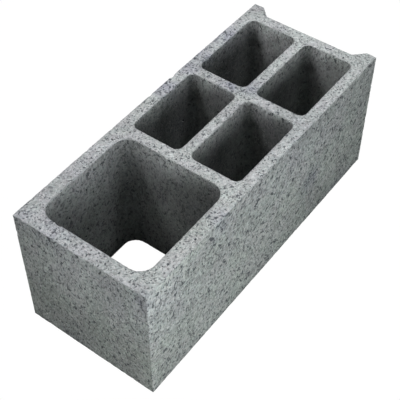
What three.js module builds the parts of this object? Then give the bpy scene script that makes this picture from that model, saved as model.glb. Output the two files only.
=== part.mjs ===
// Hollow concrete corner block, 500 x 200 x 200 mm.
// One vibrated casting: a large square cell at the plain end takes a reinforced
// tie column, four smaller cells lighten the rest, and the other end has a
// shallow vertical recess between two ears that is filled with mortar when the
// block is laid against its neighbour. All cells run straight through.
//
// Millimetres, +Z up. The origin is the centre of the bottom bed face.
// +X runs along the length from the plain end to the recessed end.

import * as THREE from "three";

// ---- overall ----
const LENGTH = 500; // plain end to ear tips
const WIDTH = 200; // wall thickness that the block builds
const HEIGHT = 200; // one course

// ---- stations along the length, measured from the plain end ----
const END_WALL = 20.5; // plain end wall
const LARGE_CELL_END = 180; // far side of the square cell
const WEB_A = 17.5; // cross web between the square cell and the first pair
const SMALL_CELL_LENGTH = 127;
const WEB_B = 16; // cross web between the two pairs
const RECESS_WALL = 17.5; // end wall behind the mortar recess

// ---- across the width ----
const LARGE_CELL_SIDE_WALL = 20.5; // face shells beside the square cell
const SMALL_CELL_SIDE_WALL = 16.75; // face shells beside the small cells
const CENTRE_WEB = 15.5; // long web between the two rows of small cells

// ---- cell corners ----
const LARGE_CELL_RADIUS = 21;
const SMALL_CELL_RADIUS = 10;

// ---- mortar recess in the far end ----
const RECESS_DEPTH = 15;
const EAR_TIP = 15; // width of each ear at its flat tip
const EAR_FOOT = 30; // width of each ear where its slope meets the recess floor

// ---- arrises ----
const ARRIS_RADIUS = 1.5; // outer vertical edges
const EAR_FOOT_RADIUS = 3; // inside corner at the foot of each ear
const BED_ARRIS = 1.2; // edges of the two bed faces, outside and around the cells
const BED_ARRIS_STEPS = 2;

const stationsMustFit =
  LARGE_CELL_END +
  WEB_A +
  SMALL_CELL_LENGTH +
  WEB_B +
  SMALL_CELL_LENGTH +
  RECESS_WALL +
  RECESS_DEPTH;
if (Math.abs(stationsMustFit - LENGTH) > 1e-6)
  throw new Error("the cells and webs add up to " + stationsMustFit);

// A closed outline with each corner replaced by an arc. corners is a list of
// [x, y, radius, steps], and steps is the number of straight pieces in the arc.
function roundedOutline(corners) {
  const points = [];
  const count = corners.length;
  for (let i = 0; i < count; i++) {
    const [x, y, radius, steps] = corners[i];
    const here = new THREE.Vector2(x, y);
    const before = new THREE.Vector2(...corners[(i + count - 1) % count]);
    const after = new THREE.Vector2(...corners[(i + 1) % count]);
    const towardsBefore = before.clone().sub(here).normalize();
    const towardsAfter = after.clone().sub(here).normalize();
    const half = Math.acos(towardsBefore.dot(towardsAfter)) / 2;
    const centre = here
      .clone()
      .add(
        towardsBefore
          .clone()
          .add(towardsAfter)
          .normalize()
          .multiplyScalar(radius / Math.sin(half)),
      );
    const start = here
      .clone()
      .addScaledVector(towardsBefore, radius / Math.tan(half));
    const end = here
      .clone()
      .addScaledVector(towardsAfter, radius / Math.tan(half));
    const startAngle = start.clone().sub(centre).angle();
    let sweep = end.clone().sub(centre).angle() - startAngle;
    if (sweep > Math.PI) sweep -= 2 * Math.PI;
    if (sweep < -Math.PI) sweep += 2 * Math.PI;
    for (let k = 0; k <= steps; k++) {
      const a = startAngle + (sweep * k) / steps;
      points.push(
        new THREE.Vector2(
          centre.x + radius * Math.cos(a),
          centre.y + radius * Math.sin(a),
        ),
      );
    }
  }
  return points;
}

function cell(x0, x1, y0, y1, radius, steps) {
  return roundedOutline([
    [x0, y0, radius, steps],
    [x0, y1, radius, steps],
    [x1, y1, radius, steps],
    [x1, y0, radius, steps],
  ]);
}

const plainEnd = -LENGTH / 2;
const farEnd = LENGTH / 2;
const side = WIDTH / 2;
const recessFloor = farEnd - RECESS_DEPTH;

// Plan section, anticlockwise from the plain end's right-hand corner.
const outline = roundedOutline([
  [plainEnd, -side, ARRIS_RADIUS, 3],
  [farEnd, -side, ARRIS_RADIUS, 3],
  [farEnd, -side + EAR_TIP, ARRIS_RADIUS, 2],
  [recessFloor, -side + EAR_FOOT, EAR_FOOT_RADIUS, 3],
  [recessFloor, side - EAR_FOOT, EAR_FOOT_RADIUS, 3],
  [farEnd, side - EAR_TIP, ARRIS_RADIUS, 2],
  [farEnd, side, ARRIS_RADIUS, 3],
  [plainEnd, side, ARRIS_RADIUS, 3],
]);

const section = new THREE.Shape(outline);

section.holes.push(
  new THREE.Path(
    cell(
      plainEnd + END_WALL,
      plainEnd + LARGE_CELL_END,
      -side + LARGE_CELL_SIDE_WALL,
      side - LARGE_CELL_SIDE_WALL,
      LARGE_CELL_RADIUS,
      9,
    ),
  ),
);

const firstPair = plainEnd + LARGE_CELL_END + WEB_A;
const secondPair = firstPair + SMALL_CELL_LENGTH + WEB_B;
for (const x of [firstPair, secondPair]) {
  for (const row of [-1, 1]) {
    const inner = (row * CENTRE_WEB) / 2;
    const outer = row * (side - SMALL_CELL_SIDE_WALL);
    section.holes.push(
      new THREE.Path(
        cell(
          x,
          x + SMALL_CELL_LENGTH,
          Math.min(inner, outer),
          Math.max(inner, outer),
          SMALL_CELL_RADIUS,
          7,
        ),
      ),
    );
  }
}

const body = new THREE.ExtrudeGeometry(section, {
  depth: HEIGHT - 2 * BED_ARRIS,
  steps: 1,
  bevelEnabled: true,
  bevelThickness: BED_ARRIS,
  bevelSize: BED_ARRIS,
  bevelOffset: -BED_ARRIS,
  bevelSegments: BED_ARRIS_STEPS,
});
body.translate(0, 0, BED_ARRIS);

const concrete = new THREE.MeshStandardMaterial({
  name: "concrete",
  color: new THREE.Color().setRGB(0.36, 0.375, 0.378),
  roughness: 0.95,
  metalness: 0,
});

const block = new THREE.Mesh(body, concrete);
block.name = "concrete_block";

const part = new THREE.Group();
part.name = "hollow_corner_block";
part.add(block);

export default part;
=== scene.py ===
import math

import bpy
import numpy as np
from mathutils import Matrix, Vector
from mathutils.geometry import delaunay_2d_cdt


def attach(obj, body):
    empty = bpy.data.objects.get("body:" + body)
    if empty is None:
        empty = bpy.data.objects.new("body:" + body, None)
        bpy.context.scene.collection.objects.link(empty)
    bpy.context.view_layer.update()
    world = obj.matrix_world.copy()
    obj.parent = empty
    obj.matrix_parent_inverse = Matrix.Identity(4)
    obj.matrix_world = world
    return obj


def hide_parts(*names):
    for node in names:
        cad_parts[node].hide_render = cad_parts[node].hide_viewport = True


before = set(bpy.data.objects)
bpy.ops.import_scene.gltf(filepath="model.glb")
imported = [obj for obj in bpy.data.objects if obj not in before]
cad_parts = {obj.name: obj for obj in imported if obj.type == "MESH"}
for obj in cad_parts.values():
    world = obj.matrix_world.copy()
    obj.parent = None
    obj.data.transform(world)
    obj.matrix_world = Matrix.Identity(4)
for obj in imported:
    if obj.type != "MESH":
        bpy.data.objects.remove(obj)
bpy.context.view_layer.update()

scene = bpy.context.scene
MM = 0.001
SEED = 20417

# ---------------------------------------------------------------- the block's plan, as in the CAD
LENGTH, WIDTH, HEIGHT = 500.0, 200.0, 200.0
END_WALL, LARGE_CELL_END = 20.5, 180.0
WEB_A, SMALL_CELL_LENGTH, WEB_B = 17.5, 127.0, 16.0
LARGE_CELL_SIDE_WALL, SMALL_CELL_SIDE_WALL, CENTRE_WEB = 20.5, 16.75, 15.5
LARGE_CELL_RADIUS, SMALL_CELL_RADIUS = 21.0, 10.0
RECESS_DEPTH, EAR_TIP, EAR_FOOT = 15.0, 15.0, 30.0
# arrises are a little keener than the CAD's, and wear is added below: upright corners, foot of the ears, bed arrises of the outline and of the cells
ARRIS_RADIUS, EAR_FOOT_RADIUS, OUTER_BED_ARRIS, CELL_BED_ARRIS = 0.45, 3.0, 0.4, 0.5
WORN = 0.55                                        # how far from an arris its wear reaches

X0, X1, HALF = -LENGTH / 2, LENGTH / 2, WIDTH / 2
XR = X1 - RECESS_DEPTH


class Curve:
    """A closed plan curve of straight runs and corner arcs, walked with the concrete on its left."""

    def __init__(self, corners, bed_arris):
        self.arris = bed_arris
        self.q = bed_arris * math.pi / 2                      # arc length of a bed arris
        self.band = 2 * self.q + HEIGHT - 2 * bed_arris       # up the whole profile
        pts = [np.array(c[:2], float) for c in corners]
        radii = [c[2] for c in corners]
        n = len(pts)
        self.parts = []  # (s0, s1, kind, data)
        cuts = []
        for i in range(n):
            a, b, c = pts[i - 1], pts[i], pts[(i + 1) % n]
            u, v = (a - b) / np.linalg.norm(a - b), (c - b) / np.linalg.norm(c - b)
            half = math.acos(max(-1, min(1, float(u @ v)))) / 2
            t = radii[i] / math.tan(half)
            p, q = b + u * t, b + v * t
            centre = b + (u + v) / np.linalg.norm(u + v) * radii[i] / math.sin(half)
            turn = math.copysign(1, float((-u)[0] * v[1] - (-u)[1] * v[0]))
            cuts.append((p, q, centre, radii[i], turn, math.pi - 2 * half))
        s = 0.0
        for i in range(n):
            q = cuts[i][1]
            p2 = cuts[(i + 1) % n][0]
            run = float(np.linalg.norm(p2 - q))
            d = (p2 - q) / run
            self.parts.append((s, s + run, "line", (q, d)))
            s += run
            p, q2, centre, r, turn, ang = cuts[(i + 1) % n]
            start = math.atan2(p[1] - centre[1], p[0] - centre[0])
            self.parts.append((s, s + r * ang, "arc", (centre, r, start, turn)))
            s += r * ang
        self.length = s

    def at(self, s):
        """Points and outward normals (away from the concrete, to the right of the walk) at arc lengths s."""
        s = np.mod(np.asarray(s, float), self.length)
        P = np.zeros(s.shape + (2,))
        N = np.zeros(s.shape + (2,))
        for s0, s1, kind, data in self.parts:
            m = (s >= s0) & (s < s1 + 1e-9)
            if not m.any():
                continue
            k = s[m] - s0
            if kind == "line":
                q, d = data
                P[m] = q + k[:, None] * d
                N[m] = np.array([d[1], -d[0]])
            else:
                centre, r, start, turn = data
                a = start + turn * k / r
                e = np.stack([np.cos(a), np.sin(a)], -1)
                P[m] = centre + r * e
                N[m] = e * turn
        return P, N

    def samples(self, step, close=()):
        """Arc lengths along the curve: about step apart on the runs, at least four to a corner, and finer in close."""
        out = []
        for s0, s1, kind, data in self.parts:
            if kind == "line":
                n = max(2, int(round((s1 - s0) / step)))
            else:
                n = max(4, int(round((s1 - s0) / step)))
            out.extend(s0 + (s1 - s0) * np.arange(n) / n)
        out = np.array(out)
        for mid, half in close:
            fine = mid + np.arange(-half, half + 0.01, 0.9)
            out = np.concatenate([out[(np.abs(out - mid) > half + 0.6) | (out == 0)], fine[(fine > 0.6) & (fine < self.length - 0.6)]])
        return np.unique(out)

    def nearest(self, x, y):
        """The arc length of the curve's point nearest to (x, y)."""
        s = np.linspace(0, self.length, 6000, endpoint=False)
        return float(s[np.hypot(*(self.at(s)[0] - (x, y)).T).argmin()])


def cell_curve(xa, xb, ya, yb, r):
    # clockwise, so that the concrete around the cell is on the left of the walk
    return Curve([(xa, ya, r), (xa, yb, r), (xb, yb, r), (xb, ya, r)], CELL_BED_ARRIS)


a, f = ARRIS_RADIUS, EAR_FOOT_RADIUS
outer = Curve([
    (X0, -HALF, a), (X1, -HALF, a), (X1, -HALF + EAR_TIP, a), (XR, -HALF + EAR_FOOT, f),
    (XR, HALF - EAR_FOOT, f), (X1, HALF - EAR_TIP, a), (X1, HALF, a), (X0, HALF, a),
], OUTER_BED_ARRIS)
xs1 = X0 + LARGE_CELL_END + WEB_A
xs2 = xs1 + SMALL_CELL_LENGTH + WEB_B
yo, yi = HALF - SMALL_CELL_SIDE_WALL, CENTRE_WEB / 2
yl = HALF - LARGE_CELL_SIDE_WALL
R1, R2 = LARGE_CELL_RADIUS, SMALL_CELL_RADIUS
curves = [
    outer,
    cell_curve(X0 + END_WALL, X0 + LARGE_CELL_END, -yl, yl, R1),
    cell_curve(xs1, xs1 + SMALL_CELL_LENGTH, -yo, -yi, R2),
    cell_curve(xs1, xs1 + SMALL_CELL_LENGTH, yi, yo, R2),
    cell_curve(xs2, xs2 + SMALL_CELL_LENGTH, -yo, -yi, R2),
    cell_curve(xs2, xs2 + SMALL_CELL_LENGTH, yi, yo, R2),
]

# ---------------------------------------------------------------- noise
_rng = np.random.RandomState(SEED)
_perm = np.tile(_rng.permutation(512), 2).astype(np.int64)
_grad = _rng.normal(size=(512, 3))
_grad /= np.linalg.norm(_grad, axis=1)[:, None]


def noise(p, size, offset=0.0):
    """Gradient noise, about -1 to 1, with features of the given size."""
    q = np.asarray(p, float) / size + offset
    i = np.floor(q).astype(np.int64)
    fr = q - i
    w = fr * fr * fr * (fr * (fr * 6 - 15) + 10)
    i &= 511
    total = 0.0
    for dx in (0, 1):
        for dy in (0, 1):
            for dz in (0, 1):
                h = _perm[(_perm[(_perm[(i[:, 0] + dx) & 511] + i[:, 1] + dy) & 511] + i[:, 2] + dz) & 511]
                g = _grad[h]
                d = (g * (fr - np.array([dx, dy, dz]))).sum(1)
                total = total + d * (w[:, 0] if dx else 1 - w[:, 0]) * (w[:, 1] if dy else 1 - w[:, 1]) * (w[:, 2] if dz else 1 - w[:, 2])
    return total * 1.6


# ---------------------------------------------------------------- chips knocked out of the arrises
# Each is a shallow scoop, part of a ball whose middle lies outside the concrete.
# bed_chips: (curve, arc length, level, half length, depth); corner_chips: (outline corner, height, half length, depth)
_crng = np.random.RandomState(SEED + 77)
bed_chips = [(1, curves[1].nearest(X0 + END_WALL, 47.5), 1, 5.0, 1.7), (0, outer.nearest(X0, 17.0), 1, 3.4, 1.2),
             (0, outer.nearest(X0, -88.0), 1, 5.5, 1.6)]
for _ci, _cu in enumerate(curves):
    for _level in (0, 1):
        for _ in range((11, 4, 2, 2, 2, 2)[_ci]):
            _half = 2.2 + 4.6 * _crng.random_sample() ** 2
            _deep = min(1.9, _half * (0.22 + 0.14 * _crng.random_sample())) * (0.5 if _ci == 0 and _level == 0 else 1.0)
            for _try in range(60):
                _s = _crng.random_sample() * _cu.length
                _fit = any(k == "line" and s0 + _half + 3 < _s < s1 - _half - 3 for s0, s1, k, d in _cu.parts)
                if _fit and all(c[0] != _ci or abs(c[1] - _s) > c[3] + _half + 9 for c in bed_chips):
                    bed_chips.append((_ci, _s, _level, _half, _deep))
                    break
_corners = [p for p in outer.parts if p[2] == "arc" and p[3][3] > 0]
corner_chips = []
for _k, _p in enumerate(_corners):
    for _z in (14 + 50 * _crng.random_sample(), 78 + 50 * _crng.random_sample(), 140 + 40 * _crng.random_sample()):
        if _crng.random_sample() < 0.7:
            _half = 2.4 + 3.6 * _crng.random_sample()
            corner_chips.append((_k, float(_z), _half, 0.5 * min(1.7, _half * (0.2 + 0.12 * _crng.random_sample()))))

scoops = []                                       # (centre, radius)
for _ci, _s, _level, _half, _deep in bed_chips:
    _p, _n = curves[_ci].at(np.array([_s]))
    _out = np.array([_n[0, 0], _n[0, 1], 1.0 if _level else -1.0]) / math.sqrt(2)
    _r = (_half ** 2 + _deep ** 2) / (2 * _deep)
    # the depth is measured from the rounded arris, a little inside the sharp corner
    scoops.append((np.array([_p[0, 0], _p[0, 1], HEIGHT if _level else 0.0]) + _out * (_r - _deep - 0.5 * curves[_ci].arris * (math.sqrt(2) - 1)), _r))
for _k, _z, _half, _deep in corner_chips:
    _p, _n = outer.at(np.array([(_corners[_k][0] + _corners[_k][1]) / 2]))
    _r = (_half ** 2 + _deep ** 2) / (2 * _deep)
    scoops.append((np.array([_p[0, 0], _p[0, 1], _z]) + np.array([_n[0, 0], _n[0, 1], 0.0]) * (_r - _deep), _r))


# ---------------------------------------------------------------- global vertex store
class Store:
    def __init__(self):
        self.P, self.N, self.D, self.C, self.A = [], [], [], [], []
        self.n = 0

    def add(self, P, N, D, C, A):
        """Points, normals, depth below the surface, cavity value and arris weight; returns their ids."""
        k = len(P)
        self.P.append(np.asarray(P, float)); self.N.append(np.asarray(N, float))
        self.D.append(np.asarray(D, float)); self.C.append(np.asarray(C, float)); self.A.append(np.asarray(A, float))
        ids = np.arange(self.n, self.n + k)
        self.n += k
        return ids

    def done(self):
        return [np.concatenate(v) for v in (self.P, self.N, self.D, self.C, self.A)]


store = Store()
tri_ids, tri_uv, sharp_pairs = [], [], []


def band_map(curve, s, t):
    """From band coordinates (along the curve, up the profile) to points and normals."""
    P2, N2 = curve.at(s)
    s, t = np.asarray(s, float), np.asarray(t, float)
    r, q, band = curve.arris, curve.q, curve.band
    lo, hi = t < q, t > band - q
    phi = np.where(lo, t / q, np.where(hi, (band - t) / q, 1.0)) * math.pi / 2
    inset = r * (1 - np.sin(phi))
    z = np.where(lo, r * (1 - np.cos(phi)), np.where(hi, HEIGHT - r * (1 - np.cos(phi)), r + t - q))
    P = np.column_stack([P2 - N2 * inset[:, None], z])
    nz = np.cos(phi) * np.where(lo, -1.0, np.where(hi, 1.0, 0.0))
    N = np.column_stack([N2 * np.sin(phi)[:, None], nz])
    return P, N


def near_arris(curve, s, t):
    """1 on a bed arris, falling to 0 at WORN mm from it, and about 0.4 on the outline's upright corners."""
    e = np.minimum(np.abs(t - curve.q / 2), np.abs(curve.band - curve.q / 2 - t))
    w = np.clip(1 - np.maximum(e - curve.q / 2, 0) / WORN, 0, 1)
    if curve is outer:
        for s0, s1, kind, data in curve.parts:
            if kind == "arc" and data[3] > 0:
                mid = (s0 + s1) / 2
                d = np.abs((s - mid + curve.length / 2) % curve.length - curve.length / 2)
                w = np.maximum(w, 0.42 * np.clip(1 - np.maximum(d - (s1 - s0) / 2, 0) / WORN, 0, 1))
    return w * w * (3 - 2 * w)


# ---------------------------------------------------------------- scattering in a flat domain
def scatter_pits(rng, count, allowed, width, height, rmin, rmax, power):
    """Irregular pits as (x, y, r), biggest first, none touching another or the domain's edge."""
    r = rmin + (rmax - rmin) * rng.random_sample(count) ** power
    r = np.sort(r)[::-1]
    cell = 8.0
    grid = {}
    out = []
    for k in range(count):
        for _ in range(12):
            x, y = rng.random_sample(2) * (width, height)
            if not allowed(x, y, r[k] * 1.3 + 0.5):
                continue
            gx, gy = int(x // cell), int(y // cell)
            ok = True
            for i in (-1, 0, 1):
                for j in (-1, 0, 1):
                    for (px, py, pr) in grid.get((gx + i, gy + j), ()):
                        if (px - x) ** 2 + (py - y) ** 2 < (1.28 * (pr + r[k]) + 0.35) ** 2:
                            ok = False
                            break
                    if not ok:
                        break
                if not ok:
                    break
            if ok:
                grid.setdefault((gx, gy), []).append((x, y, r[k]))
                out.append((x, y, r[k]))
                break
    return np.array(out).reshape(-1, 3)


def pit_points(rng, pits, faint, bold):
    """Rim ring, inner ring and floor point of every pit, with depth and cavity values, and the rim's edges.

    Cavity values of the faintest pits come down to faint; pits with a radius over bold are painted black, as painted
    shade."""
    pts, depth, cav, edges = [], [], [], []
    n = 0
    for x, y, r in pits:
        m = 6 if r < 1.5 else (7 if r < 2.2 else 8)
        k = 4 if r < 1.5 else 5
        stretch = 1 + 0.35 * rng.random_sample()
        turn = rng.random_sample() * math.pi
        c, s = math.cos(turn), math.sin(turn)
        ang = (np.arange(m) + 0.5 * rng.random_sample(m)) * 2 * math.pi / m
        rad = r * (0.82 + 0.36 * rng.random_sample(m))
        ring = np.column_stack([np.cos(ang) * rad * stretch, np.sin(ang) * rad / stretch])
        ang2 = (np.arange(k) + 0.5 * rng.random_sample(k)) * 2 * math.pi / k
        rad2 = r * (0.42 + 0.22 * rng.random_sample(k))
        ring2 = np.column_stack([np.cos(ang2) * rad2 * stretch, np.sin(ang2) * rad2 / stretch])
        local = np.vstack([ring, ring2, rng.normal(size=(1, 2)) * 0.1 * r])
        local = np.column_stack([local[:, 0] * c - local[:, 1] * s, local[:, 0] * s + local[:, 1] * c])
        pts.append(local + (x, y))
        d = r * (0.75 + 0.5 * rng.random_sample())
        depth.append(np.concatenate([np.zeros(m) + 0.02, d * (0.62 + 0.25 * rng.random_sample(k)), [d]]))
        strong = faint + (1 - faint) * rng.random_sample() ** 1.5
        if r > bold:
            strong = 1.3
        cav.append(strong * np.concatenate([np.full(m, 0.25), np.full(k, 0.85), [1.0]]))
        ids = n + np.arange(m)
        edges.append(np.column_stack([ids, np.roll(ids, -1)]))
        n += len(local)
    if not pts:
        return np.zeros((0, 2)), np.zeros(0), np.zeros(0), np.zeros((0, 2), int)
    return np.vstack(pts), np.concatenate(depth), np.concatenate(cav), np.vstack(edges)


def hex_points(rng, width, height, step, jitter=0.28):
    rows = max(1, int(height / (step * 0.866)))
    cols = max(1, int(width / step))
    dx, dy = width / cols, height / rows
    out = []
    for j in range(rows):
        y = (j + 0.5) * dy
        x = (np.arange(cols) + (0.25 if j % 2 else 0.75)) * dx
        out.append(np.column_stack([x, np.full(cols, y)]))
    p = np.vstack(out)
    return p + rng.uniform(-jitter, jitter, p.shape) * step


def far_from_pits(pts, pits, margin):
    keep = np.ones(len(pts), bool)
    if len(pits) == 0:
        return keep
    for i in range(0, len(pts), 2000):
        d = np.hypot(pts[i:i + 2000, None, 0] - pits[None, :, 0], pts[i:i + 2000, None, 1] - pits[None, :, 1])
        keep[i:i + 2000] = (d > 1.3 * pits[None, :, 2] + margin).all(1)
    return keep


def far_from_points(pts, others, dist):
    """pts that stay dist away from every one of others, by a coarse grid."""
    cell = dist
    grid = {}
    for x, y in others:
        grid.setdefault((int(x // cell), int(y // cell)), []).append((x, y))
    keep = np.ones(len(pts), bool)
    d2 = dist * dist
    for n, (x, y) in enumerate(pts):
        gx, gy = int(x // cell), int(y // cell)
        for i in (-1, 0, 1):
            for j in (-1, 0, 1):
                for (px, py) in grid.get((gx + i, gy + j), ()):
                    if (px - x) ** 2 + (py - y) ** 2 < d2:
                        keep[n] = False
                        break
                if not keep[n]:
                    break
            if not keep[n]:
                break
    return keep


def triangulate(points, edges):
    """Delaunay triangles over points, with the given edges kept; indices are those of points."""
    vs, _, faces, orig, _, _ = delaunay_2d_cdt([Vector(p) for p in points], [tuple(e) for e in edges.tolist()], [], 0, 1e-5, True)
    if any(len(o) != 1 for o in orig):
        raise RuntimeError("the triangulation joined or added points: %d" % sum(len(o) != 1 for o in orig))
    back = np.array([o[0] for o in orig])
    return back[np.array(faces, int)]


# ---------------------------------------------------------------- the walls: one band for each plan curve
UV_SIDE = 1030.0
half_outer = outer.length / 2
UV_PLACE = [None, (2, 414, False), (745, 10, True), (620, 414, False), (2, 620, False), (400, 620, False)]
PIT_SHARE = [2640, 330, 200, 200, 200, 200]      # pits asked for on each band
BASE_STEP = [6.4, 8.0, 8.0, 8.0, 8.0, 8.0]
loops = []                                        # (bottom ids, top ids, bottom xy, top xy)

for ci, curve in enumerate(curves):
    rng = np.random.RandomState(SEED + 11 * ci)
    S, Q, BAND = curve.length, curve.q, curve.band
    chipped = [(c[1], c[3] * 1.15) for c in bed_chips if c[0] == ci]
    sb = curve.samples(2.5, chipped)
    nb = len(sb)
    level_ids = []
    for t in (0.0, BAND):
        tt = np.full(nb, t)
        P, N = band_map(curve, sb, tt)
        level_ids.append((store.add(P, N, np.zeros(nb), np.zeros(nb), near_arris(curve, sb, tt)), P[:, :2].copy()))
    loops.append((level_ids[0][0], level_ids[1][0], level_ids[0][1], level_ids[1][1]))

    def allowed(x, y, m, S=S, BAND=BAND):
        return m < x < S - m and m < y < BAND - m
    pits = scatter_pits(rng, PIT_SHARE[ci], allowed, S, BAND, 0.75, (2.1, 2.3, 1.8, 1.8, 1.8, 1.8)[ci], 3.0 if ci else 2.6)
    ppts, pdep, pcav, pedge = pit_points(rng, pits, 0.2 if ci else 0.3, (1.92, 1.7, 1.6, 1.6, 1.6, 1.6)[ci])

    # seam column, the same vertices at both ends of the band
    nt = int(round(BAND / 3.0))
    tseam = np.linspace(0, BAND, nt + 1)[1:-1]
    Ps, Ns = band_map(curve, np.zeros(len(tseam)), tseam)
    seam_ids = store.add(Ps, Ns, np.zeros(len(tseam)), np.zeros(len(tseam)), near_arris(curve, np.zeros(len(tseam)), tseam))

    # rows along the bed arrises
    grid = []
    gap = np.minimum(sb[1:] - sb[:-1], np.append(sb[2:], S) - sb[1:])
    for t in (Q, Q + 0.3, Q + 0.6, Q + 1.15):
        for tt in (t, BAND - t):
            grid.append(np.column_stack([sb[1:] + rng.uniform(-0.08, 0.08, nb - 1) * gap, np.full(nb - 1, tt)]))
    # columns round the corners
    for s0, s1, kind, data in curve.parts:
        if kind != "arc":
            continue
        small = data[1] < 5
        step = 2.5 if small else 5.0
        n = 2 if small and data[1] < 1 else 4 if small else int(round((s1 - s0) / 2.9))
        ss = np.linspace(s0, s1, n + 1)
        if small:
            ss = np.concatenate([[s0 - 1.15, s0 - 0.6, s0 - 0.3], ss, [s1 + 0.3, s1 + 0.6, s1 + 1.15]])
        for k, s in enumerate(ss):
            if not 1.0 < s < S - 1.0:
                continue
            ts = np.arange(Q + 1.8 + 1.8 + (step / 2 if k % 2 else 0), BAND - Q - 3.0, step)
            grid.append(np.column_stack([np.full(len(ts), s), ts + rng.uniform(-0.3, 0.3, len(ts))]))
    grid = np.vstack(grid)
    # closer points where a chip is
    close = []
    for c in bed_chips:
        if c[0] == ci:
            ss = np.arange(c[1] - c[3] * 1.15, c[1] + c[3] * 1.15, 0.9)
            for k, t in enumerate((Q * 0.25, Q * 0.75, Q + 0.8, Q + 2.5)):
                t = BAND - t if c[2] else t
                close.append(np.column_stack([ss + (0.45 if k % 2 == 0 else 0.0), np.full(len(ss), t)]))
    if curve is outer:
        for k, z, half, deep in corner_chips:
            s0, s1 = _corners[k][:2]
            for j, s in enumerate((s0 - 2.7, s0 - 1.7, s0 - 0.8, s0, s0 + (s1 - s0) / 4, (s0 + s1) / 2, s0 + (s1 - s0) * 0.75, s1, s1 + 0.8, s1 + 1.7, s1 + 2.7)):
                ts = np.arange(z - half * 1.15, z + half * 1.15, 0.9) + Q - curve.arris
                close.append(np.column_stack([np.full(len(ts), s), ts + (0.45 if j % 2 else 0.0)]))
    if close:
        close = np.vstack(close)
        close = close[(close[:, 0] > 0.8) & (close[:, 0] < S - 0.8)]
        grid = np.vstack([close, grid[far_from_points(grid, close, 0.55)]])
    grid = grid[far_from_pits(grid, pits, 0.45)]
    edge_pts = np.vstack([np.column_stack([sb, np.zeros(nb)]), np.column_stack([sb, np.full(nb, BAND)]),
                          np.column_stack([np.zeros(len(tseam)), tseam]), np.column_stack([np.full(len(tseam), S), tseam])])
    base = hex_points(rng, S, BAND, BASE_STEP[ci])
    base = base[(base[:, 1] > Q + 3.2) & (base[:, 1] < BAND - Q - 3.2) & (base[:, 0] > 2.5) & (base[:, 0] < S - 2.5)]
    base = base[far_from_pits(base, pits, 1.3)]
    base = base[far_from_points(base, np.vstack([grid, edge_pts]), 2.4)]

    free = np.vstack([ppts, grid, base])
    dep = np.concatenate([pdep, np.zeros(len(grid) + len(base))])
    cav = np.concatenate([pcav, np.zeros(len(grid) + len(base))])
    P, N = band_map(curve, free[:, 0], free[:, 1])
    free_ids = store.add(P, N, dep, cav, near_arris(curve, free[:, 0], free[:, 1]))

    # local list: free points, bottom row (with the closing point), top row, two seam columns
    sc_ = np.append(sb, S)
    local = np.vstack([free, np.column_stack([sc_, np.zeros(nb + 1)]), np.column_stack([sc_, np.full(nb + 1, BAND)]),
                       np.column_stack([np.zeros(len(tseam)), tseam]), np.column_stack([np.full(len(tseam), S), tseam])])
    b_ids, t_ids = level_ids[0][0], level_ids[1][0]
    gids = np.concatenate([free_ids, b_ids, b_ids[:1], t_ids, t_ids[:1], seam_ids, seam_ids])
    tris = triangulate(local, pedge)
    uvw = local[tris]
    area2 = (uvw[:, 1, 0] - uvw[:, 0, 0]) * (uvw[:, 2, 1] - uvw[:, 0, 1]) - (uvw[:, 2, 0] - uvw[:, 0, 0]) * (uvw[:, 1, 1] - uvw[:, 0, 1])
    tris = tris[np.abs(area2) > 1e-7]
    area2 = area2[np.abs(area2) > 1e-7]
    tris[area2 < 0] = tris[area2 < 0][:, ::-1]
    uvw = local[tris]
    if ci == 0:
        second = uvw[:, :, 0].mean(1) > half_outer
        uv = uvw + np.array([2.0, 2.0])
        uv[second] = uvw[second] + np.array([12.0 - half_outer, 208.0])
    else:
        ox, oy, rot = UV_PLACE[ci]
        uv = (uvw[:, :, ::-1] if rot else uvw) + np.array([ox, oy], float)
    tri_ids.append(gids[tris])
    tri_uv.append(uv)
    sharp_pairs.append(free_ids[pedge])


# ---------------------------------------------------------------- the two bed faces
def face_margin(x, y):
    """Distance inside the flat bed face from its nearest edge, in mm; negative off it."""
    e, c = OUTER_BED_ARRIS, CELL_BED_ARRIS
    m = min(HALF - e - abs(y), x - X0 - e, X1 - e - x)
    void = min(x - XR + e, ((HALF - EAR_FOOT) + (x - XR) - abs(y)) / math.sqrt(2) + e)
    m = min(m, -void)
    for k, cu in enumerate(curves[1:]):
        if k == 0:
            ax, bx, ay, by, r = X0 + END_WALL, X0 + LARGE_CELL_END, -yl, yl, R1
        else:
            ax = xs1 if k < 3 else xs2
            bx = ax + SMALL_CELL_LENGTH
            ay, by = (-yo, -yi) if k % 2 else (yi, yo)
            r = R2
        r += c
        cx, cy, hx, hy = (ax + bx) / 2, (ay + by) / 2, (bx - ax) / 2 + c - r, (by - ay) / 2 + c - r
        qx, qy = abs(x - cx) - hx, abs(y - cy) - hy
        m = min(m, math.hypot(max(qx, 0), max(qy, 0)) + min(max(qx, qy), 0) - r)
    return m


def in_region(p, rings):
    """Even-odd test of points against closed rings."""
    odd = np.zeros(len(p), bool)
    for ring in rings:
        nx = np.roll(ring, -1, axis=0)
        for i in range(0, len(p), 4000):
            q = p[i:i + 4000]
            y0, y1 = ring[None, :, 1], nx[None, :, 1]
            x0, x1 = ring[None, :, 0], nx[None, :, 0]
            cross = (y0 > q[:, 1:2]) != (y1 > q[:, 1:2])
            with np.errstate(divide="ignore", invalid="ignore"):
                xi = x0 + (q[:, 1:2] - y0) * (x1 - x0) / (y1 - y0)
            odd[i:i + 4000] ^= (np.where(cross, q[:, 0:1] < xi, False).sum(1) % 2).astype(bool)
    return odd


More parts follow.
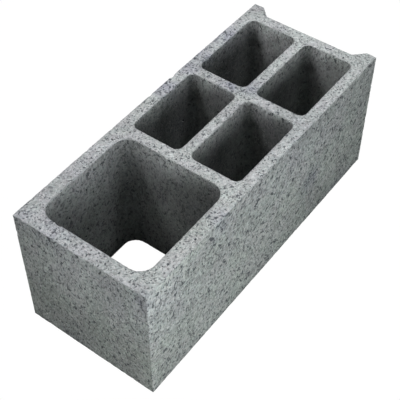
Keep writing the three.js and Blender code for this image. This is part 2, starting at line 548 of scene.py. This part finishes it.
for level, (z, nz) in enumerate(((0.0, -1.0), (HEIGHT, 1.0))):
    rng = np.random.RandomState(SEED + 301 + level)
    rings = [lp[2 + level] for lp in loops]
    ring_ids = [lp[level] for lp in loops]

    def allowed(x, y, m):
        return face_margin(x + X0, y - HALF) > m
    pits = scatter_pits(rng, 620, allowed, LENGTH, WIDTH, 0.75, 2.1, 2.6)
    pits[:, 0] += X0
    pits[:, 1] -= HALF
    ppts, pdep, pcav, pedge = pit_points(rng, pits, 0.75, 9.0)
    base = hex_points(rng, LENGTH, WIDTH, 5.2) + (X0, -HALF)
    base = base[[face_margin(x, y) > 2.6 for x, y in base]]
    base = base[far_from_pits(base, pits, 1.2)]
    close = []
    # a ring close to every edge keeps the face flat right up to its arris
    for cu in curves:
        q, n = cu.at(np.arange(1.2, cu.length - 0.6, 2.5))
        ring = q - n * (cu.arris + 0.5)
        close.append(ring[far_from_pits(ring, pits, 0.45)])
    for c in bed_chips:
        if c[2] == level:
            for k, m in enumerate((0.8, 1.6, 2.5)):
                ss = np.arange(c[1] - c[3] * 1.1, c[1] + c[3] * 1.1, 0.9) + (0.45 if k % 2 else 0.0)
                q, n = curves[c[0]].at(ss)
                close.append(q - n * (curves[c[0]].arris + m))
    close = np.vstack(close)
    close = close[[face_margin(x, y) > 0.5 for x, y in close]]
    close = close[far_from_pits(close, pits, 0.45)]
    thin = [0]
    for i in range(1, len(close)):                 # none closer than 0.4 mm to an earlier one
        if (np.hypot(close[thin, 0] - close[i, 0], close[thin, 1] - close[i, 1]) > 0.4).all():
            thin.append(i)
    close = close[thin]
    base = np.vstack([close, base[far_from_points(base, close, 1.4)]])
    free = np.vstack([ppts, base])
    dep = np.concatenate([pdep, np.zeros(len(base))])
    cav = np.concatenate([pcav, np.zeros(len(base))])
    arr = np.array([max(0.0, 1 - face_margin(x, y) / WORN) for x, y in free])
    free_ids = store.add(np.column_stack([free, np.full(len(free), z)]), np.tile([0, 0, nz], (len(free), 1)), dep, cav, arr * arr * (3 - 2 * arr))
    local = np.vstack([free] + rings)
    gids = np.concatenate([free_ids] + ring_ids)
    edges = [pedge]
    n0 = len(free)
    for r_ in rings:
        k = n0 + np.arange(len(r_))
        edges.append(np.column_stack([k, np.roll(k, -1)]))
        n0 += len(r_)
    tris = triangulate(local, np.vstack(edges))
    tris = tris[in_region(local[tris].mean(1), rings)]
    xy = local[tris]
    area2 = (xy[:, 1, 0] - xy[:, 0, 0]) * (xy[:, 2, 1] - xy[:, 0, 1]) - (xy[:, 2, 0] - xy[:, 0, 0]) * (xy[:, 1, 1] - xy[:, 0, 1])
    flip = (area2 < 0) if nz > 0 else (area2 > 0)
    tris[flip] = tris[flip][:, ::-1]
    xy = local[tris]
    tri_ids.append(gids[tris])
    tri_uv.append(xy + np.array([(2.0 if level == 0 else 512.0) - X0, 826.0 + HALF]))
    sharp_pairs.append(free_ids[pedge])

# ---------------------------------------------------------------- relief: casting waviness, grain and worn arrises
P, N, D, C, A = store.done()
N /= np.linalg.norm(N, axis=1)[:, None]
relief = 0.10 * noise(P, 38.0) + 0.08 * noise(P, 11.0, 7.3) + 0.09 * noise(P, 4.3, 19.1) + 0.30
bite = np.clip(noise(P, 6.0, 41.7) - 0.30, 0, 1) * 1.8 + np.clip(noise(P, 15.0, 3.9) - 0.48, 0, 1) * 2.5
wear = 0.22 * np.abs(noise(P, 3.1, 29.3)) + np.minimum(bite, 0.7)
relief = relief - A * wear
P = P + N * (relief - D)[:, None]
# the cores taper so that they draw, and lean a little: the cells are wider at the top than at the foot, and stand over to the far left there
drawn_in, taper = np.zeros(len(P)), np.zeros(len(P))
for cu in curves[1:]:
    xy, _ = cu.at(np.linspace(0, cu.length, 200))
    lo, hi = xy.min(0), xy.max(0)
    near = (P[:, 0] > lo[0] - 1.5) & (P[:, 0] < hi[0] + 1.5) & (P[:, 1] > lo[1] - 1.5) & (P[:, 1] < hi[1] + 1.5)
    drawn_in[near], taper[near] = 0.4, 0.45 if cu is curves[1] else 0.70
rise = np.clip(P[:, 2] / HEIGHT, 0, 1)
P[:, :2] += N[:, :2] * (drawn_in - taper * rise)[:, None] + (0.6 * drawn_in * rise * np.hypot(N[:, 0], N[:, 1]))[:, None]
P[:, 2] = np.maximum(P[:, 2], 0.02)
broken = np.zeros(len(P))
ragged = 0.32 * noise(P, 2.6, 5.7) + 0.18 * noise(P, 1.3, 88.1)
for centre, radius in scoops:
    v = P - centre
    far = np.linalg.norm(v, axis=1)
    reach = radius + ragged
    hit = far < reach
    P[hit] = centre + v[hit] * (reach[hit] / far[hit])[:, None]
    broken[hit] = np.minimum(1, (reach[hit] - far[hit]) / 0.6)
tris = np.vstack(tri_ids)
uvs = np.vstack(tri_uv).reshape(-1, 2) / UV_SIDE

# ---------------------------------------------------------------- the mesh
me = bpy.data.meshes.new("block_casting")
me.vertices.add(len(P))
me.vertices.foreach_set("co", (P * MM).astype(np.float32).ravel())
me.loops.add(len(tris) * 3)
me.loops.foreach_set("vertex_index", tris.ravel().astype(np.int32))
me.polygons.add(len(tris))
me.polygons.foreach_set("loop_start", (np.arange(len(tris)) * 3).astype(np.int32))
me.update(calc_edges=True)
me.polygons.foreach_set("use_smooth", np.ones(len(tris), bool))
uvl = me.uv_layers.new(name="OFBake")
uvl.data.foreach_set("uv", uvs.astype(np.float32).ravel())
# deep in a cell the core has pressed the wall smoother, and each wall gets its own painted shade, standing in for the
# light that reaches it
# painted shades of the walls that face +X, -X, +Y and -Y
PAINTED_WALL_SHADE = [(1.0, 0.99, 1.0, 1.20), (0.9, 0.77, 0.9, 0.99), (0.9, 0.88, 0.9, 0.81), (0.95, 1.27, 0.92, 0.92), (0.95, 1.45, 0.92, 0.68)]


def ease(v):
    v = np.clip(v, 0, 1)
    return v * v * (3 - 2 * v)


in_cell = np.zeros(len(P))
shade = np.ones(len(P))
depth = np.minimum(P[:, 2], HEIGHT - P[:, 2])
for cu, panel in zip(curves[1:], PAINTED_WALL_SHADE):
    xy, _ = cu.at(np.linspace(0, cu.length, 200))
    lo, hi = xy.min(0), xy.max(0)
    near = (P[:, 0] > lo[0] - 1.5) & (P[:, 0] < hi[0] + 1.5) & (P[:, 1] > lo[1] - 1.5) & (P[:, 1] < hi[1] + 1.5)
    in_cell = np.maximum(in_cell, near * (1 - np.abs(N[:, 2])) * ease(depth / 30.0) * (0.62 if cu is curves[1] else 1.0))
    part = [np.maximum(v, 0) ** 2 for v in (N[:, 0], -N[:, 0], N[:, 1], -N[:, 1])]
    if cu is curves[1]:
        tone = [np.full(len(P), q) for q in panel]
    else:
        # the painted shades part ways below the rim, and the palest close in again deeper down
        tone = [r + (1 + (q - 1) * (1 - (0.5 if q > 1 else 0.0) * ease((depth - 40) / 30)) - r) * ease(depth / 10.0) for q, r in zip(panel, (0.9, 1.10, 0.9, 0.93))]
    own = sum(p * q for p, q in zip(part, tone)) / np.maximum(sum(part), 1e-6)
    flat = np.clip(np.abs(N[:, 2]), 0, 1)
    # painted light and shade: each wall is darker further in and round the corners, most of all in the small cells,
    # with its own shade right under the rim
    off = np.maximum(np.minimum(np.abs(P[:, 0] - lo[0]), np.abs(P[:, 0] - hi[0])), np.minimum(np.abs(P[:, 1] - lo[1]), np.abs(P[:, 1] - hi[1])))
    if cu is curves[1]:
        own = own * (1.07 - 0.05 * ease((depth - 8) / 52)) * (1 - 0.20 * (1 - ease((off - 3) / 24)))
        own = own * (1 - 0.12 * (part[2] + part[3]) / np.maximum(sum(part), 1e-6) * (1 - ease(depth / 4.5)))
    else:
        own = own * (1.19 - 0.25 * ease((depth - 8) / 52))
        cross = (1.22 - 0.22 * ease((depth - 6) / 28)) * (1 - 0.12 * ease((depth - 36) / 10))
        left, right = hi[1] - P[:, 1], P[:, 1] - lo[1]
        cross = cross * (1 - (0.44 - 0.64 * ease((depth - 38) / 12)) * (1 - ease((left - 8) / (18 + 12 * ease((depth - 20) / 20)))))
        cross = cross * (1 - 0.15 * (1 - ease((right - 3) / 12)))
        along = 1 - 0.05 * ease((depth - 18) / 15) - 0.30 * ease((off - 25) / 45) * ease((depth - 20) / 15)
        along = along * (1 - 0.30 * (1 - ease((depth - 30) / 20)) * (1 - ease((off - 3) / 12)))
        along = along * (1 + 0.33 * ease((depth - 36) / 14) * (1 - ease((off - 4) / 16)))
        # painted light and shadow: in the pair next to the large cell the walls are painted paler by the left corner,
        # in the far pair darker
        turned = ease((depth - 8) / 16) * (1 - 0.4 * ease((depth - 80) / 30))
        if cu in curves[2:4]:
            cross = cross * (1 + turned * (0.20 - 0.29 * ease((left - 8) / 20)))
            along = along * (1 + turned * (0.14 * (1 - ease((off - 2) / 12)) - 0.15 * ease((off - 40) / 25)))
        else:
            cross = cross * (1 - turned * (0.15 - 0.26 * ease((left - 8) / 20)))
        own = own * (cross * (part[0] + part[1]) + along * (part[2] + part[3])) / np.maximum(sum(part), 1e-6)
    shade = np.where(near & (sum(part) > 1e-3), own * (1 - flat) + flat, shade)
# broad patches painted lighter and darker, as painted light and shade, each on the face that its middle lies on:
# middle, radius and how much lighter
for x, y, z, r, gain in ((-250, 30, 150, 75, 0.17), (-250, 15, 185, 45, 0.14), (-250, -75, 170, 45, -0.10), (-250, 30, 0, 80, -0.11), (-250, -65, 10, 50, -0.12),
                         (-66, -76, 200, 20, 0.13), (-215, -100, 190, 45, 0.22), (-110, -100, 190, 40, 0.06), (-20, -100, 60, 70, 0.08), (-210, -100, 40, 70, -0.07),
                         (60, -100, 190, 40, -0.04), (150, -100, 10, 45, -0.19), (220, -100, 185, 40, -0.04), (83, -58, 200, 34, -0.15), (150, -100, 130, 60, 0.06), (220, -100, 60, 60, 0.07), (232, 0, 200, 60, 0.27),
                         (-190, 90, 200, 34, -0.12), (-60, 0, 200, 45, 0.09), (20, 92, 200, 50, 0.07), (150, 92, 200, 60, 0.09), (60, -92, 200, 150, 0.06),
                         (60, 100, 120, 90, 0.06), (250, 40, 60, 60, -0.06),
                         (-70, 14, 190, 32, 0.26), (-70, 4, 197, 22, 0.17), (-70, 0, 145, 38, 0.16), (-70, -52, 92, 54, -0.41), (-70, -64, 168, 34, -0.30), (-70, 50, 85, 34, 0.28),
                         (-110, 79.5, 196, 24, -0.14), (-145, 79.5, 155, 32, 0.17), (-190, 79.5, 105, 35, -0.18), (-80, 79.5, 140, 35, -0.09),
                         (-92, 79.5, 60, 26, 0.16), (-145, 79.5, 45, 32, -0.14)):
    own = N[:, 0] * (1 if x == 250 else -1) if x in (-250, -70, 250) else N[:, 1] * (1 if y == 100 else -1) if y in (-100, 79.5, 100) else np.abs(N[:, 2])
    own = np.maximum(own, 0)
    shade = shade * (1 + gain * own * np.exp(-((P[:, 0] - x) ** 2 + (P[:, 1] - y) ** 2 + (P[:, 2] - z) ** 2) / (r * r)))
# painted shade round the foot, where the walls stand on the floor: a darker line, taller inside the cells
shade = shade * (1 - np.where(in_cell > 0, 0.25, 0.16) * (1 - np.abs(N[:, 2])) * (1 - ease((P[:, 2] - 1) / np.where(in_cell > 0, 34.0, 9.0))))
# a thin darker line painted on the plain end, beside its near corner
shade = shade * (1 - 0.07 * np.maximum(-N[:, 0], 0) * (P[:, 0] < X0 + 5) * (1 - ease((P[:, 1] + HALF - 1.0) / 5.0)))
# and the arrises themselves are painted darker there and along the top of the long face: painted shade that keeps them
# from reading lit
shade = shade * (1 - 0.26 * np.sqrt(np.maximum(-N[:, 0], 0)) * (P[:, 0] < X0 + 5) * (1 - ease((P[:, 1] + HALF - 0.4) / 1.4)))
shade = shade * (1 - 0.16 * np.sqrt(np.maximum(-N[:, 1], 0)) * (P[:, 1] < -HALF + 2) * (1 - ease((HEIGHT - P[:, 2] - 0.3) / 1.2)))
# the walls turn a little greener towards the foot; some places lean to lilac and others to green
hue = -0.9 * ease((170.0 - P[:, 2]) / 110.0) * (1 - np.abs(N[:, 2]))
for x, y, z, r, amount in ((-250, -70, 60, 50, -0.8), (-215, -100, 120, 60, 0.6), (60, -100, 190, 60, 0.9), (-245, 0, 200, 70, 0.6),
                           (-150, 92, 200, 60, 0.8), (160, 92, 200, 60, 0.8), (-150, -92, 200, 60, -0.8), (-90, 100, 60, 90, 0.6)):
    hue = hue + amount * np.exp(-((P[:, 0] - x) ** 2 + (P[:, 1] - y) ** 2 + (P[:, 2] - z) ** 2) / (r * r))
# patches starved of paste: fuller of pores, and bluer
starved = np.zeros(len(P))
for x, y, z, r, w in ((30, 95, 200, 22, 0.9), (80, 92, 200, 16, 0.8), (113, 94, 200, 20, 0.8), (165, 96, 200, 22, 1.0), (85, 27, 200, 15, 0.95),
                      (97, 2, 200, 18, 0.8), (-249, -93, 189, 15, 0.6), (-243, 45, 200, 34, 0.40), (-243, 92, 200, 20, 0.4), (100, -100, 85, 26, 0.8), (-110, -100, 190, 22, 0.6),
                      (60, 100, 120, 30, 0.4), (-120, 100, 60, 26, 0.35), (235, 40, 110, 26, 0.35), (180, -92, 0, 26, 0.5), (-240, 30, 0, 26, 0.4)):
    starved = np.maximum(starved, w * np.exp(-((P[:, 0] - x) ** 2 + (P[:, 1] - y) ** 2 + (P[:, 2] - z) ** 2) / (0.6 * r * r)))
starved = np.clip(starved * (1 + 0.8 * noise(P, 9.0, 64.3)), 0, 1)
for name, values in (("pit", C), ("arris", A), ("wall", 1 - np.abs(N[:, 2])), ("cored", in_cell), ("chip", broken), ("panel", shade), ("starved", starved),
                     ("hue", hue), ("ends", np.abs(N[:, 0]))):
    at = me.attributes.new(name, "FLOAT", "POINT")
    at.data.foreach_set("value", values.astype(np.float32))
ev = np.zeros(len(me.edges) * 2, np.int32)
me.edges.foreach_get("vertices", ev)
ev = np.sort(ev.reshape(-1, 2), axis=1).astype(np.int64)
sp = np.sort(np.vstack(sharp_pairs), axis=1).astype(np.int64)
sharp = np.isin(ev[:, 0] * 10000000 + ev[:, 1], sp[:, 0] * 10000000 + sp[:, 1])
at = me.attributes.get("sharp_edge") or me.attributes.new("sharp_edge", "BOOLEAN", "EDGE")
at.data.foreach_set("value", sharp)
me.update()
block = bpy.data.objects.new("block_casting", me)
scene.collection.objects.link(block)
print("block_casting: %d vertices, %d triangles, %d pit rims edges" % (len(P), len(tris), int(sharp.sum())))


# ---------------------------------------------------------------- the concrete
class Nodes:
    """Short names for building a node tree."""

    def __init__(self, tree):
        self.t = tree

    def new(self, kind, **values):
        n = self.t.nodes.new(kind)
        for k, v in values.items():
            if k.startswith("_"):
                setattr(n, k[1:], v)
            else:
                self.put(n.inputs[k.replace("_", " ")], v)
        return n

    def put(self, socket, v):
        if isinstance(v, bpy.types.NodeSocket):
            self.t.links.new(v, socket)
        else:
            socket.default_value = v

    def math(self, op, a, b=None, c=None, clamp=False):
        n = self.t.nodes.new("ShaderNodeMath")
        n.operation = op
        n.use_clamp = clamp
        for i, v in enumerate((a, b, c)):
            if v is not None:
                self.put(n.inputs[i], v)
        return n.outputs[0]

    def ramp(self, v, lo, hi, to_lo=0.0, to_hi=1.0, smooth=True):
        n = self.t.nodes.new("ShaderNodeMapRange")
        n.interpolation_type = "SMOOTHSTEP" if smooth else "LINEAR"
        for i, x in enumerate((v, lo, hi, to_lo, to_hi)):
            self.put(n.inputs[i], x)
        return n.outputs[0]

    def mix(self, fac, a, b, blend="MIX"):
        n = self.t.nodes.new("ShaderNodeMix")
        n.data_type = "RGBA"
        n.blend_type = blend
        n.clamp_factor = True
        self.put(n.inputs[0], fac)
        self.put(n.inputs[6], a)
        self.put(n.inputs[7], b)
        return n.outputs[2]

    def noise(self, vec, size_mm, detail=2.0, rough=0.5, out="Fac"):
        n = self.t.nodes.new("ShaderNodeTexNoise")
        n.noise_dimensions = "3D"
        self.put(n.inputs["Vector"], vec)
        n.inputs["Scale"].default_value = 1000.0 / size_mm
        n.inputs["Detail"].default_value = detail
        n.inputs["Roughness"].default_value = rough
        return n.outputs[out]

    def voronoi(self, vec, size_mm, feature="F1"):
        n = self.t.nodes.new("ShaderNodeTexVoronoi")
        n.voronoi_dimensions = "3D"
        n.feature = feature
        self.put(n.inputs["Vector"], vec)
        n.inputs["Scale"].default_value = 1000.0 / size_mm
        n.inputs["Randomness"].default_value = 1.0
        return n

    def shift(self, vec, size_mm, amount_mm, detail=1.0):
        """vec moved about by noise, so that shapes made from it are ragged."""
        c = self.noise(vec, size_mm, detail, out="Color")
        s = self.t.nodes.new("ShaderNodeVectorMath")
        s.operation = "MULTIPLY_ADD"
        self.put(s.inputs[0], c)
        k = 2 * amount_mm * MM
        s.inputs[1].default_value = (k, k, k)
        s.inputs[2].default_value = (-k / 2, -k / 2, -k / 2)
        t = self.t.nodes.new("ShaderNodeVectorMath")
        t.operation = "ADD"
        self.put(t.inputs[0], vec)
        self.t.links.new(s.outputs[0], t.inputs[1])
        return t.outputs[0]

    def split(self, colour):
        n = self.t.nodes.new("ShaderNodeSeparateColor")
        self.put(n.inputs[0], colour)
        return n.outputs


def concrete_material():
    m = bpy.data.materials.new("cast_concrete")
    m.use_nodes = True
    t = m.node_tree
    t.nodes.clear()
    k = Nodes(t)
    out = t.nodes.new("ShaderNodeOutputMaterial")
    bsdf = t.nodes.new("ShaderNodeBsdfPrincipled")
    t.links.new(bsdf.outputs[0], out.inputs[0])
    place = t.nodes.new("ShaderNodeTexCoord").outputs["Object"]
    pit, arris, wall, cored, chip, panel, starved, hue, ends = [
        k.new("ShaderNodeAttribute", _attribute_name=a).outputs["Fac"]
        for a in ("pit", "arris", "wall", "cored", "chip", "panel", "starved", "hue", "ends")]
    # the mould is drawn off upwards, so the marks on the walls are coarser and a little longer up the block than across it
    side = k.math("GREATER_THAN", wall, 0.5)
    across = k.ramp(side, 0.0, 1.0, 1.0, 0.78, smooth=False)
    across = k.math("ADD", across, k.math("MULTIPLY", k.math("GREATER_THAN", ends, 0.7), 0.34))    # and finer on the ends
    drawn = t.nodes.new("ShaderNodeVectorMath")
    drawn.operation = "MULTIPLY"
    t.links.new(place, drawn.inputs[0])
    t.links.new(k.new("ShaderNodeCombineXYZ", X=across, Y=across, Z=0.68).outputs[0], drawn.inputs[1])
    # turned off the block's axes, so that no face lies along the noise's own grid
    turn = t.nodes.new("ShaderNodeVectorRotate")
    turn.rotation_type = "EULER_XYZ"
    turn.inputs["Rotation"].default_value = (0.61, 0.43, 0.92)
    t.links.new(drawn.outputs[0], turn.inputs["Vector"])
    vec = turn.outputs[0]

    # sand: grains of about 1.2 and 2.6 mm, each with its own shade
    g1 = k.voronoi(k.shift(vec, 1.0, 0.25), 1.25)
    g1r = k.split(g1.outputs["Color"])
    g2 = k.voronoi(k.shift(vec, 2.0, 0.7), 2.5)
    g2r = k.split(g2.outputs["Color"])
    fine = k.noise(vec, 0.8, 2.0)
    grit = k.noise(vec, 3.3, 2.0, 0.55)
    mid_n = k.noise(vec, 11.0, 2.0, 0.5)
    wide = k.noise(vec, 42.0, 2.0, 0.5)
    tint_n = k.noise(k.shift(vec, 60.0, 20.0), 30.0, 1.0)

    # pores: ragged gaps between the grains, thicker in some places than in others
    crowd = k.math("ADD", k.ramp(mid_n, 0.3, 0.7, 0.020, -0.020, smooth=False), k.math("MULTIPLY", wall, 0.022))
    crowd = k.math("ADD", crowd, k.math("MULTIPLY", starved, 0.06))
    p1 = k.math("ADD", k.noise(k.shift(vec, 1.5, 0.35), 2.9, 1.5, 0.5), crowd)
    p2 = k.math("ADD", k.noise(k.shift(vec, 2.4, 0.6, 2.0), 4.9, 1.0, 0.5), crowd)
    small = k.ramp(p1, 0.618, 0.665)
    # curls: thin curved gaps that follow the grains
    line_n = k.noise(k.shift(vec, 3.0, 0.5), 4.6, 1.0, 0.5)
    curl = k.ramp(k.math("ABSOLUTE", k.math("SUBTRACT", line_n, 0.5)), 0.010, 0.036, 1.0, 0.0)
    curl = k.math("MULTIPLY", curl, k.ramp(k.math("ADD", k.noise(vec, 6.5, 1.0, 0.5), crowd), 0.50, 0.58))
    large = k.ramp(p2, 0.668, 0.706)

    soft = k.ramp(wall, 0.0, 1.0, 1.0, 0.45, smooth=False)    # the finest grains are filled with paste on the walls
    shade = k.math("MULTIPLY_ADD", k.math("MULTIPLY", k.math("SUBTRACT", g1r[0], 0.5), 0.24), soft, 1.0)
    shade = k.math("MULTIPLY", shade, k.math("MULTIPLY_ADD", k.math("SUBTRACT", g2r[0], 0.5), k.math("MULTIPLY", k.ramp(wall, 0.0, 1.0, 0.40, 0.42, smooth=False), k.ramp(cored, 0.0, 1.0, 1.0, 0.70, smooth=False)), 1.0))
    calm = k.ramp(cored, 0.0, 1.0, 1.0, 0.70, smooth=False)
    coarse = k.math("MULTIPLY", k.ramp(wall, 0.0, 1.0, 0.65, 0.80, smooth=False), calm)
    shade = k.math("MULTIPLY", shade, k.math("MULTIPLY_ADD", k.math("SUBTRACT", grit, 0.5), coarse, 1.0))
    shade = k.math("MULTIPLY", shade, k.math("MULTIPLY_ADD", k.math("MULTIPLY", k.math("SUBTRACT", fine, 0.5), 0.20), soft, 1.0))
    shade = k.math("MULTIPLY", shade, k.ramp(mid_n, 0.3, 0.7, 0.94, 1.06, smooth=False))
    shade = k.math("MULTIPLY", shade, k.ramp(wide, 0.3, 0.7, 0.91, 1.09, smooth=False))
    # painted shade on the arrises: they are painted darker so that they don't read lit
    shade = k.math("MULTIPLY", shade, k.ramp(arris, 0.3, 1.0, 1.0, 0.86))
    shade = k.math("MULTIPLY", shade, panel)
    shade = k.math("MULTIPLY", shade, k.ramp(wall, 0.0, 1.0, 0.970, 1.0, smooth=False))    # the beds are painted a little darker: painted shade on the lit top
    shade = k.math("MULTIPLY", shade, k.ramp(chip, 0.0, 1.0, 1.0, 0.9))
    # drag marks: thin upright lines where a stone was pulled along the mould, on the walls only
    pull = t.nodes.new("ShaderNodeVectorMath")
    pull.operation = "MULTIPLY"
    t.links.new(k.shift(place, 9.0, 0.5), pull.inputs[0])
    pull.inputs[1].default_value = (1.0, 1.0, 0.085)
    scratch = k.ramp(k.noise(pull.outputs[0], 1.7, 0.0), 0.735, 0.79)
    scratch = k.math("MULTIPLY", k.math("MULTIPLY", scratch, k.ramp(wall, 0.9, 1.0)), k.ramp(tint_n, 0.45, 0.6))
    grey = k.mix(k.ramp(tint_n, 0.38, 0.62), (0.302, 0.327, 0.320, 1), (0.312, 0.326, 0.330, 1))
    body = k.mix(1.0, grey, k.new("ShaderNodeCombineColor", Red=shade, Green=shade, Blue=shade).outputs[0], "MULTIPLY")
    body = k.mix(1.0, body, k.new("ShaderNodeCombineColor", Red=k.math("MULTIPLY_ADD", hue, 0.010, k.ramp(g2r[2], 0.0, 1.0, 0.97, 1.03, smooth=False)),
                                  Green=1.0, Blue=k.math("MULTIPLY_ADD", hue, 0.030, 1.0)).outputs[0], "MULTIPLY")
    # a few grains of dark stone and of pale quartz
    dark = k.ramp(g2r[1], 0.95, 0.97)
    pale = k.ramp(g1r[1], 0.92, 0.94)
    body = k.mix(k.math("MULTIPLY", dark, 0.6), body, (0.09, 0.098, 0.108, 1))
    body = k.mix(k.math("MULTIPLY", pale, 0.42), body, (0.52, 0.53, 0.52, 1))
    body = k.mix(k.math("MULTIPLY", starved, 0.42), body, (0.150, 0.160, 0.235, 1))
    body = k.mix(k.math("MULTIPLY", scratch, 0.55), body, (0.080, 0.088, 0.095, 1))
    holes = k.math("MAXIMUM", k.math("MULTIPLY", small, 0.86), large)
    holes = k.math("MAXIMUM", holes, k.math("MULTIPLY", curl, k.ramp(wall, 0.0, 1.0, 0.35, 0.60, smooth=False)))
    # the cores that form the cells press their walls smoother
    holes = k.math("MULTIPLY", holes, k.ramp(cored, 0.0, 1.0, 1.0, 0.45, smooth=False))
    # the pores and pits are real hollows and are also painted dark: painted shade in them, the boldest pits near black
    body = k.mix(k.math("MULTIPLY", holes, 0.88), body, (0.045, 0.051, 0.060, 1))
    body = k.mix(k.ramp(pit, 0.15, 1.1, 0.0, 0.80), body, (0.064, 0.072, 0.082, 1))
    body = k.mix(k.ramp(pit, 0.75, 1.1, 0.0, 0.85), body, (0.016, 0.018, 0.020, 1))
    t.links.new(body, bsdf.inputs["Base Color"])

    rough = k.ramp(g1r[2], 0.0, 1.0, 0.82, 0.97, smooth=False)
    t.links.new(rough, bsdf.inputs["Roughness"])
    bsdf.inputs["Specular IOR Level"].default_value = 0.35

    # height in millimetres: pores go down, grains stand up
    h = k.math("MULTIPLY", holes, -1.1)
    h = k.math("ADD", h, k.math("MULTIPLY", scratch, -0.6))
    h = k.math("ADD", h, k.math("MULTIPLY", k.ramp(g1.outputs["Distance"], 0.0, 0.8, 1.0, 0.0), 0.12))
    h = k.math("ADD", h, k.math("MULTIPLY", k.ramp(g2.outputs["Distance"], 0.0, 0.9, 1.0, 0.0), 0.28))
    h = k.math("ADD", h, k.math("MULTIPLY", fine, 0.12))
    h = k.math("ADD", h, k.math("MULTIPLY", mid_n, 0.9))
    bump = t.nodes.new("ShaderNodeBump")
    bump.inputs["Strength"].default_value = 0.45
    bump.inputs["Distance"].default_value = MM
    t.links.new(h, bump.inputs["Height"])
    t.links.new(bump.outputs[0], bsdf.inputs["Normal"])
    return m


me.materials.append(concrete_material())
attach(block, "root")
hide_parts("concrete_block")

# ---------------------------------------------------------------- floor, world, lights, camera
floor_mesh = bpy.data.meshes.new("floor")
floor_mesh.from_pydata([(-6, -6, 0), (6, -6, 0), (6, 6, 0), (-6, 6, 0)], [], [(0, 1, 2, 3)])
floor = bpy.data.objects.new("floor", floor_mesh)
scene.collection.objects.link(floor)
fm = bpy.data.materials.new("pale_floor")
fm.use_nodes = True
ft = fm.node_tree
ft.nodes.clear()
fo = ft.nodes.new("ShaderNodeOutputMaterial")
mixer = ft.nodes.new("ShaderNodeMixShader")
seen = ft.nodes.new("ShaderNodeEmission")
seen.inputs["Color"].default_value = (1, 1, 1, 1)
seen.inputs["Strength"].default_value = 1.005
bounce = ft.nodes.new("ShaderNodeBsdfDiffuse")
bounce.inputs["Color"].default_value = (0.04, 0.04, 0.04, 1)
path = ft.nodes.new("ShaderNodeLightPath")
ft.links.new(path.outputs["Is Camera Ray"], mixer.inputs[0])
ft.links.new(bounce.outputs[0], mixer.inputs[1])
ft.links.new(seen.outputs[0], mixer.inputs[2])
ft.links.new(mixer.outputs[0], fo.inputs[0])
floor_mesh.materials.append(fm)

world = bpy.data.worlds.new("studio")
scene.world = world
world.use_nodes = True
wt = world.node_tree
wt.nodes.clear()
wo = wt.nodes.new("ShaderNodeOutputWorld")
wmix = wt.nodes.new("ShaderNodeMixShader")
amb = wt.nodes.new("ShaderNodeBackground")
amb.inputs["Color"].default_value = (1, 1, 1, 1)
amb.inputs["Strength"].default_value = 0.0
sky = wt.nodes.new("ShaderNodeBackground")
sky.inputs["Color"].default_value = (1, 1, 1, 1)
sky.inputs["Strength"].default_value = 1.005
wp = wt.nodes.new("ShaderNodeLightPath")
wt.links.new(wp.outputs["Is Camera Ray"], wmix.inputs[0])
wt.links.new(amb.outputs[0], wmix.inputs[1])
wt.links.new(sky.outputs[0], wmix.inputs[2])
wt.links.new(wmix.outputs[0], wo.inputs[0])


def soft_light(name, where, size, power, aim=(0, 0, 0.1), colour=(1, 1, 1)):
    l = bpy.data.lights.new(name, "AREA")
    l.shape = "DISK"
    l.size = size
    l.energy = power
    l.color = colour
    o = bpy.data.objects.new(name, l)
    scene.collection.objects.link(o)
    o.visible_camera = False
    o.location = where
    o.rotation_euler = (Vector(aim) - Vector(where)).to_track_quat("-Z", "Y").to_euler()
    return o


def polar(r, az, el):
    az, el = math.radians(az), math.radians(el)
    return (r * math.cos(el) * math.cos(az), r * math.cos(el) * math.sin(az), 0.1 + r * math.sin(el))


# large soft sources above and behind, and weak near ones round the two front faces
soft_light("low_side", (0, -0.9, 0.2), 0.25, 1.76, (0, -0.1, 0.1), (0.968, 1.0, 0.991))
soft_light("key_left", polar(2.0, 120, 60), 0.45, 15.17, (0, 0, 0.1), (1.0, 0.975, 0.98))
soft_light("key_far_high", polar(2.0, 0, 78), 0.45, 35.72, (0, 0, 0.1), (0.995, 0.984, 1.0))
soft_light("near_corner", (-0.35, -0.6, 0.35), 0.45, 0.62, (-0.2, -0.1, 0.12), (0.973, 1.0, 0.979))
soft_light("near_end", (-0.9, 0.1, 0.25), 0.25, 0.98, (-0.25, 0, 0.1), (0.974, 1.0, 0.967))
soft_light("near_side", (0.15, -0.5, 0.3), 0.25, 0.37, (0, -0.1, 0.1), (0.974, 1.0, 0.989))
soft_light("low_corner", (-0.5, -0.5, 0.2), 0.25, 1.89, (0, -0.1, 0.1), (0.98, 1.0, 0.993))
soft_light("near_front_right", (-0.6, -0.75, 0.45), 0.3, 1.04, (0, 0, 0.12), (0.965, 1.0, 0.977))
soft_light("small_left", polar(2.0, 150, 68), 0.12, 2.04, (0, 0, 0.1), (1.0, 0.891, 0.866))
# low fills behind, for the back and the recessed end; they stand below the top and don't reach it
soft_light("fill_back", (0.05, 1.2, 0.05), 0.26, 6.3, (0, 0, 0.1), (0.98, 1.0, 0.99))
soft_light("fill_recess", (1.2, 0.05, 0.05), 0.26, 3.5, (0, 0, 0.1), (0.98, 1.0, 0.99))

cam = bpy.data.cameras.new("camera")
cam.sensor_fit = "HORIZONTAL"
cam.sensor_width = 36.0
cam.lens = 948.643 * 36.0 / 400.0
cam.clip_start, cam.clip_end = 0.01, 50.0
camera = bpy.data.objects.new("camera", cam)
scene.collection.objects.link(camera)
view = Matrix.Identity(4)
right, down, ahead = (0.5970237, -0.8022231, -0.0008357), (-0.6024052, -0.4476284, -0.6608607), (0.5297836, 0.3950529, -0.7505081)
for i in range(3):
    view[i][0], view[i][1], view[i][2] = right[i], -down[i], -ahead[i]
view[0][3], view[1][3], view[2][3] = -0.69563, -0.50503, 1.04221
camera.matrix_world = view
scene.camera = camera
scene.view_settings.view_transform = "Standard"
scene.view_settings.look = "None"

bpy.context.view_layer.update()
